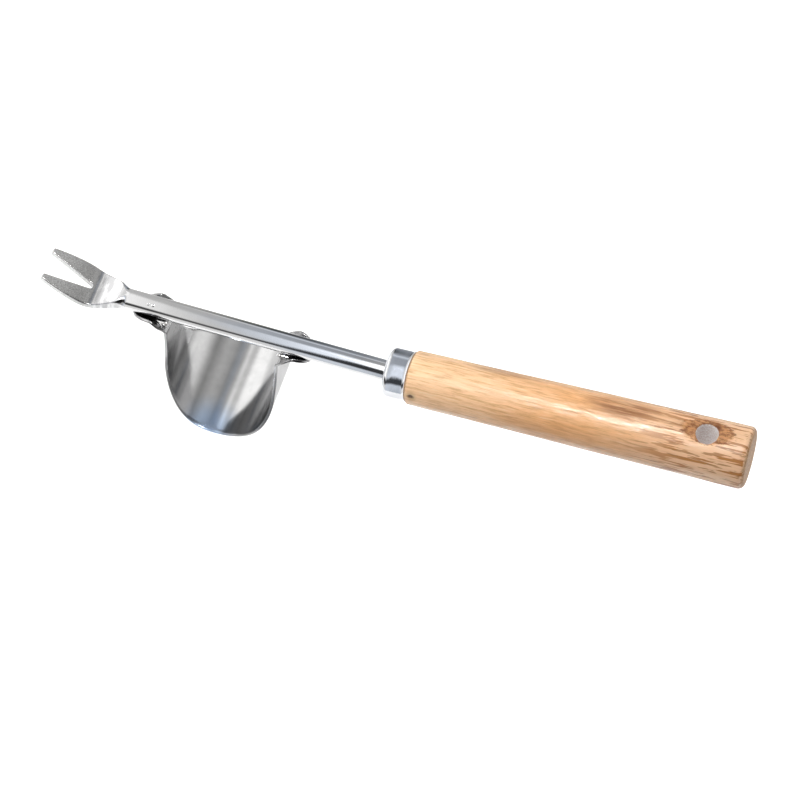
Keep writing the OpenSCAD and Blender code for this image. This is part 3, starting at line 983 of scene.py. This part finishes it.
def handle_profile():
    """(x, radius) from the spigot to the butt, and the place in it where the hole's patches start."""
    inner_r = FERRULE_R - FERRULE_WALL - SPIGOT_GAP
    spigot_x = MOUTH_X + FERRULE_WALL + SPIGOT_GAP
    edge = FERRULE_EDGE - FERRULE_WALL + SPIGOT_GAP
    profile = [(spigot_x, inner_r - edge)]
    profile += arc((spigot_x + edge, inner_r - edge), edge, 180, 90, 4)[1:]
    shoulder = COLLAR_X + 0.3
    soft = 0.7  # rounding of the shoulder
    profile += [(COLLAR_X - 1.5, inner_r), (shoulder, inner_r), (shoulder, FRONT_R - 0.75)]
    profile += arc((shoulder + soft, wood_r(shoulder + soft) - soft), soft, 180, 90, 6)[1:]

    pin_x = COLLAR_X + PIN_AT
    columns = [pin_x + 0.2 * i for i in range(-8, 10)]
    columns += list(np.linspace(pin_x + 2.6, -PATCH_HALF - 1.4, 90))
    patch = list(np.linspace(-PATCH_HALF, PATCH_HALF, PATCH_COLUMNS + 1))
    rear = list(np.linspace(PATCH_HALF + 1.0, BUTT_X - BUTT_EDGE - 0.6, 6))
    first_patch = len(profile) + len(columns)
    profile += [(x, wood_r(x)) for x in columns + patch + rear]
    butt_r = wood_r(BUTT_X - BUTT_EDGE)
    profile += arc((BUTT_X - BUTT_EDGE, butt_r - BUTT_EDGE), BUTT_EDGE, 90, 8, 8)
    profile += [(BUTT_X - 0.03 - BUTT_CROWN * (r / BUTT_R) ** 2, r) for r in (9.0, 7.5, 6.0, 4.5, 3.0, 1.5)]
    return profile, first_patch


def skin_with_gaps(rings, first_patch, faces):
    """Skins the handle, but for the two square patches round the mouths of the hole."""
    low_patch = range(-PATCH_TURN, PATCH_TURN)
    high_patch = range(TURNS // 2 - PATCH_TURN, TURNS // 2 + PATCH_TURN)
    cut = {k % TURNS for k in list(low_patch) + list(high_patch)}
    for i, (first, second) in enumerate(zip(rings, rings[1:])):
        in_patch = first_patch <= i < first_patch + PATCH_COLUMNS
        for k in range(TURNS):
            if in_patch and k in cut:
                continue
            j = (k + 1) % TURNS
            faces.append((first[k], second[k], second[j], first[j]))


def patch_edge(rings, first_patch, middle):
    """Vertices round the square edge of a patch."""
    last = first_patch + PATCH_COLUMNS
    left, right = (middle - PATCH_TURN) % TURNS, (middle + PATCH_TURN) % TURNS
    loop = [rings[i][left] for i in range(first_patch, last)]
    loop += [rings[last][(left + k) % TURNS] for k in range(2 * PATCH_TURN)]
    loop += [rings[i][right] for i in range(last, first_patch, -1)]
    return loop + [rings[first_patch][(right - k) % TURNS] for k in range(2 * PATCH_TURN)]


def hole_wall(upper, lower_any_order, verts, faces):
    """The hole's wall joins the two mouths, whose rings run opposite ways round."""
    def place(i):
        return round(verts[i][0], 3), round(verts[i][1], 3)

    by_place = {place(i): i for i in lower_any_order}
    lower = [by_place[place(i)] for i in upper]
    rings = [upper]
    for level in range(1, 16):
        ring = []
        for a, b in zip(upper, lower):
            x, y, z = verts[a]
            z = lerp(z, verts[b][2], level / 16)
            rough = 1 + 0.012 * noise.noise(Vector((1.4 * x, 1.4 * y, 0.5 * z)))
            ring.append((x * rough, y * rough, z))
        rings.append(add_ring(ring, verts))
    skin(rings + [lower], faces)


def build_handle(material):
    verts, faces = [], []
    bore = bore_rings(verts)
    add_fan(bore[0], BAR_FRAME @ Vector((BORE_END, 0, 0)), verts, faces)
    profile, first_patch = handle_profile()
    rings = [add_ring([turned_point(x, r, k) for k in range(TURNS)], verts) for x, r in profile]
    skin_with_gaps(rings, first_patch, faces)
    skin([r[::-1] for r in bore + [rings[0]]], faces)
    add_fan(rings[-1], (BUTT_X - 0.03, 0, 0), verts, faces)

    walls = []
    for side, middle in ((-1, 0), (1, TURNS // 2)):
        patch = patch_rings(patch_edge(rings, first_patch, middle), side, verts)
        skin(patch, faces)
        walls.append(patch[-1])
    hole_wall(walls[1], walls[0], verts, faces)
    make_piece("turned_handle", verts, faces, "handle", material, sharp=45)


def build_pin(material):
    """Cross pin with slightly domed ends, just below the surface of the wood."""
    half = wood_r(COLLAR_X + PIN_AT) - 0.20
    verts, faces = [], []
    profile = [(-half, 0.25), (-half + 0.05, 0.55), (-half + 0.16, 0.74), (-half + 0.35, PIN_R)]
    profile += [(-h, r) for h, r in reversed(profile)]
    rings = [add_ring([(r * cos(a), h, r * sin(a)) for a in circle(32)], verts)
             for h, r in profile]
    skin(rings, faces)
    add_fan(rings[0], (0, -half - 0.01, 0), verts, faces, flip=True)
    add_fan(rings[-1], (0, half + 0.01, 0), verts, faces)
    place = Matrix.Translation((COLLAR_X + PIN_AT, 0, 0)) @ Matrix.Rotation(PIN_TURN, 4, "X")
    faces = [f[::-1] for f in faces]
    make_piece("cross_pin", verts, faces, "tang_pin", material, place)


# ---------- build the object
weld = weld_metal()
build_shank(polished_steel())
build_fulcrum(satin_sheet())
build_weld("front_weld_beads", "front_weld", -1, weld)
build_weld("rear_weld_beads", "rear_weld", 1, weld)
build_ferrule(ferrule_steel())
build_handle(varnished_wood())
build_pin(pin_steel())


# ---------- camera
CAM_LENS = 139.9                  # on a 36 mm sensor
CAM_DISTANCE = 1153.5
CAM_TARGET = Vector((-101, 0, 0))
CAM_LEAN = radians(61)       # above the horizon, before the swing to the handle's side
CAM_SWING = radians(12)
CAM_ROLL = radians(13.69)
CAM_RIGHT, CAM_DOWN = -15.7, 5.8  # the view is centred this far from the target


def camera_axes():
    """Unit vectors to the picture's right, to its bottom, and towards the camera."""
    back = Vector((sin(CAM_SWING), -cos(CAM_SWING) * cos(CAM_LEAN),
                   cos(CAM_SWING) * sin(CAM_LEAN)))
    right = (Vector((1, 0, 0)) - back * back.x).normalized()
    down = (-back).cross(right)
    turned_right = right * cos(CAM_ROLL) - down * sin(CAM_ROLL)
    turned_down = right * sin(CAM_ROLL) + down * cos(CAM_ROLL)
    return turned_right, turned_down, back


def add_camera():
    right, down, back = camera_axes()
    data = bpy.data.cameras.new("camera")
    data.lens = CAM_LENS
    data.sensor_width = 36
    data.clip_start, data.clip_end = 0.05, 20
    camera = add_object("camera", data)
    spot_mm = CAM_TARGET + back * CAM_DISTANCE + right * CAM_RIGHT + down * CAM_DOWN
    turn = Matrix((right, -down, back)).transposed().to_4x4()
    camera.matrix_world = Matrix.Translation(spot_mm * MM) @ turn
    bpy.context.scene.camera = camera


# ---------- studio
TENT_R = 400.0       # radius of the light tent round the bar
FLOOR_DROP = 260.0   # from the lowest point of the tool to the floor
FLOOR_HALF = 6000.0  # half the length of the square floor's side


def tent_light(angle, x):
    """Brightness of the tent, by degrees from the camera's side, up over the top, and by x.

    The key light is broad over the fork, dimmer over the fulcrum and a narrow strip over the
    ferrule. The sky is above it. A dark flag below it draws the dark line along the bar, and the
    pale ground below that lights the underside.
    """
    def between(places, values):
        return np.interp(x, places, values)

    key_high = between((-420, -335, -276, -195), (95, 80, 27, 37))
    key = between((-500, -455, -400, -345, -325, -276, -250, -236, -218, -195, -170),
                  (1.7, 1.0, 0.8, 1.35, 1.2, 0.68, 0.75, 0.92, 1.15, 1.3, 2.7))
    sky = between((-520, -335, -276, -195, -150, -44, 60, 160, 300, 450),
                  (1.2, 0.62, 0.55, 0.36, 0.55, 0.70, 0.50, 0.33, 0.8, 1.25))
    flag_at = (-335, -276, -250, -236, -218, -200)
    flag_high = between(flag_at, (-40, -47, -44, -35, -21, -8))
    flag_low = between(flag_at, (-71, -69, -65, -62, -57, -54))
    flag = between((-335, -276, -250, -236, -200), (0.05, 0.11, 0.07, 0.07, 0.05))
    below = between((-335, -200, -170), (0.95, 0.80, 0.45))
    crest_at = between((-276, -250, -230), (96, 87, 81))

    over = smooth_step(key_high - 9, key_high + 9, angle)
    in_key = smooth_step(flag_high - 7, flag_high + 7, angle) * (1 - over)
    in_flag = smooth_step(flag_high + 7, flag_high - 7, angle)
    in_flag *= smooth_step(flag_low - 7, flag_low + 7, angle)
    light = key * in_key + sky * over + flag * in_flag + below * (1 - in_key - over - in_flag)
    crest = smooth_step(-300, -270, x) * smooth_step(-160, -190, x)
    light = light + 0.40 * np.exp(-((angle - crest_at) / 6) ** 2) * crest
    light = light * (1 - 0.9 * smooth_step(-65, -15, x) * smooth_step(52, 40, angle))
    behind = np.exp(-((angle - 117) / 20) ** 4) * np.exp(-((x + 243) / 40) ** 2)
    light = light * (1 - 0.9 * behind)
    spark = 78.0 * np.exp(-((angle - 19) / 3.0) ** 2) * np.exp(-((x + 124) / 36) ** 2)
    return light + spark


def add_tent():
    """A tube of soft light round the bar, open below, that sets the reflections."""
    _, _, back = camera_axes()
    along = (BAR_FRAME.to_3x3() @ Vector((1, 0, 0))).normalized()
    toward = (back - along * back.dot(along)).normalized()
    over = -along.cross(toward)
    if over.z < 0:
        over = -over
    angles = np.radians(np.arange(-100, 161, 2.5))
    stations = np.arange(-900, 601, 12.5)
    verts, light = [], []
    for x in stations:
        for a in angles:
            point = toward * cos(a) + over * sin(a)
            verts.append(Vector((x, 0, 0)) + point * TENT_R)
            light.append(float(tent_light(degrees(a), x)))
    across = len(angles)
    faces = [(i * across + j, i * across + j + 1, (i + 1) * across + j + 1, (i + 1) * across + j)
             for i in range(len(stations) - 1) for j in range(across - 1)]
    material, tree = shader("light_tent")
    level = add(tree, "Attribute", attribute_name="light").outputs["Fac"]
    x = add(tree, "SeparateXYZ", {0: place_of(tree)}).outputs[0]
    cool = times(tree, remap(tree, x, -0.27, -0.22), remap(tree, x, -0.15, -0.19))
    color = mix_color(tree, cool, (1.0, 0.995, 0.98), (0.92, 0.98, 1.07))
    finish_material(tree, add(tree, "Emission", {"Color": color, "Strength": level}))
    mesh = new_mesh("light_tent", verts, faces, material)
    shade = mesh.attributes.new("light", "FLOAT", "POINT")
    shade.data.foreach_set("value", light)
    tent = add_object("light_tent", mesh)
    tent.visible_camera = False
    tent.visible_shadow = False


def add_floor():
    """Pale floor that isn't seen from below."""
    height = cad_low.z / MM - FLOOR_DROP
    corners = [(FLOOR_HALF * x, FLOOR_HALF * y, height) for x, y in ((-1, -1), (1, -1), (1, 1), (-1, 1))]
    material, tree = shader("pale_floor")
    faint = cloud_noise(tree, place_of(tree), 6.0)
    color = mix_color(tree, faint, (0.90, 0.90, 0.90), (0.93, 0.93, 0.93))
    paper = add(tree, "BsdfPrincipled", {"Base Color": color, "Roughness": 0.9,
                                         "Specular IOR Level": 0.1, "Emission Color": (1, 1, 1, 1),
                                         "Emission Strength": 0.45})
    behind = add(tree, "NewGeometry").outputs["Backfacing"]
    clear = add(tree, "BsdfTransparent")
    both = add(tree, "MixShader", {0: behind, 1: paper.outputs[0], 2: clear.outputs[0]})
    finish_material(tree, both)
    add_object("floor", new_mesh("floor", corners, [(0, 1, 2, 3)], material))


def add_world():
    world = bpy.data.worlds.new("studio")
    bpy.context.scene.world = world
    world.use_nodes = True
    tree = world.node_tree
    tree.nodes.clear()
    background = add(tree, "Background", {"Color": (1, 1, 1, 1), "Strength": 0.9})
    out = add(tree, "OutputWorld")
    tree.links.new(background.outputs[0], out.inputs["Surface"])


add_camera()
add_tent()
add_floor()
add_world()
bpy.context.scene.view_settings.view_transform = "Standard"
bpy.context.scene.view_settings.look = "None"
